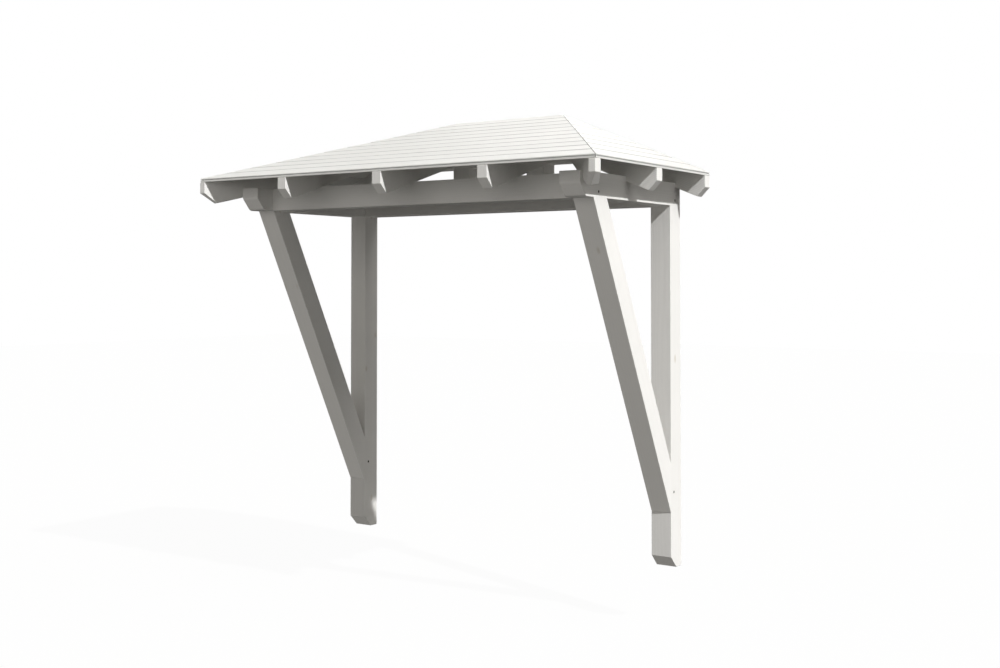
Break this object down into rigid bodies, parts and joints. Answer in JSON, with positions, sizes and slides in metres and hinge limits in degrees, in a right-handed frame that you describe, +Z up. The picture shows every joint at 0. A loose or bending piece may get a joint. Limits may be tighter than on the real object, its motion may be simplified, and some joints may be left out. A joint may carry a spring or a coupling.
{
  "type": "door canopy",
  "caption": "Wall-hung door canopy of painted timber: hipped, boarded roof on rafters and a beam frame, carried by wall posts and diagonal braces.",
  "frame": {"origin": "centre of the wall beam's back face, on the wall plane, between the two wall posts", "axes": "+Z up, +Y into the wall, -Y out from the wall to the front eave, +X to the right seen from in front"},
  "size_m": [2.64, 1.25, 2.5371],
  "materials": {
    "painted_timber": "white opaque paint",
    "painted_boards": "white opaque paint",
    "steel_pin": "dark, weathered"
  },
  "bodies": {
    "root": {"brace_foot_pin_left": "steel_pin", "brace_foot_pin_right": "steel_pin", "brace_head_pin_left": "steel_pin", "brace_head_pin_right": "steel_pin", "brace_left": "painted_timber", "brace_right": "painted_timber", "front_jack_rafter_left": "painted_timber", "front_jack_rafter_right": "painted_timber", "front_middle_rafter": "painted_timber", "front_purlin": "painted_timber", "hip_rafter_left": "painted_timber", "hip_rafter_right": "painted_timber", "post_head_pin_left": "steel_pin", "post_head_pin_right": "steel_pin", "ridge_post_left": "painted_timber", "ridge_post_right": "painted_timber", "ridge_purlin": "painted_timber", "roof_front": "painted_boards", "roof_side_left": "painted_boards", "roof_side_right": "painted_boards", "side_beam_left": "painted_timber", "side_beam_right": "painted_timber", "side_jack_rafter_left": "painted_timber", "side_jack_rafter_right": "painted_timber", "wall_beam": "painted_timber", "wall_post_left": "painted_timber", "wall_post_right": "painted_timber", "wall_rafter_left": "painted_timber", "wall_rafter_right": "painted_timber"}
  },
  "joints": []
}
